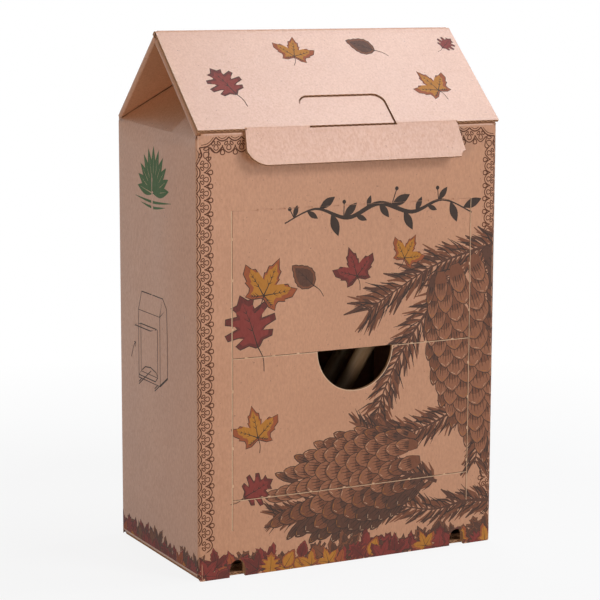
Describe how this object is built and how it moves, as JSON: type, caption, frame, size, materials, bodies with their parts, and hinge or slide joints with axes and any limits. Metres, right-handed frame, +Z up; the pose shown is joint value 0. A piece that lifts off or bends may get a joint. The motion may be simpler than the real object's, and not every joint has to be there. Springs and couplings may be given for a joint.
{
  "type": "hedgehog feeding station",
  "caption": "Folded carton feeder with a gable roof: liftable lid with pull tab, awning door flap, tear-out panel, folding sill, foot holes, stored dowels and a feed pouch.",
  "frame": {"origin": "middle of the carton's base between its four walls, on the surface it stands on", "axes": "+Z up, the door faces -Y, +X to the right seen from the front"},
  "size_m": [0.16, 0.1022, 0.2536],
  "materials": {
    "kraft_board": "matt corrugated kraft board, printed outside",
    "dowel_wood": "sanded bare beech",
    "pouch_paper": "matt kraft paper"
  },
  "bodies": {
    "carton": {"front_wall": "kraft_board", "left_wall": "kraft_board", "rear_wall": "kraft_board", "right_wall": "kraft_board", "glue_flap": "kraft_board", "bottom_panel": "kraft_board", "bottom_tuck_flap": "kraft_board", "left_dust_flap": "kraft_board", "right_dust_flap": "kraft_board", "rear_roof": "kraft_board", "inner_roof": "kraft_board", "seal_tongue": "kraft_board", "left_gusset_center": "kraft_board", "left_gusset_front": "kraft_board", "left_gusset_rear": "kraft_board", "right_gusset_center": "kraft_board", "right_gusset_front": "kraft_board", "right_gusset_rear": "kraft_board", "front_dowel": "dowel_wood", "rear_dowel": "dowel_wood", "feed_pouch": "pouch_paper"},
    "lid": {"lid": "kraft_board"},
    "pull_tab": {"lid_tab": "kraft_board"},
    "awning": {"awning_flap": "kraft_board"},
    "sill": {"sill_strip": "kraft_board"},
    "tear_panel": {"tear_panel": "kraft_board"}
  },
  "joints": [
    {"name": "lid_hinge", "type": "hinge", "parent": "carton", "child": "lid", "pos_m": [0, 0, 0.25289], "axis": [-1, 0, 0], "range_deg": [0, 160]},
    {"name": "tab_hinge", "type": "hinge", "parent": "lid", "child": "pull_tab", "pos_m": [0, -0.0472, 0.21041], "axis": [-1, 0, 0], "range_deg": [-4, 45]},
    {"name": "awning_hinge", "type": "hinge", "parent": "carton", "child": "awning", "pos_m": [0, -0.047, 0.173], "axis": [-1, 0, 0], "range_deg": [0, 100]},
    {"name": "sill_hinge", "type": "hinge", "parent": "carton", "child": "sill", "pos_m": [0, -0.047, 0.0225], "axis": [1, 0, 0], "range_deg": [0, 40]},
    {"name": "tear_panel_hinge", "type": "hinge", "parent": "sill", "child": "tear_panel", "pos_m": [0, -0.047, 0.037], "axis": [1, 0, 0], "range_deg": [0, 70]}
  ]
}
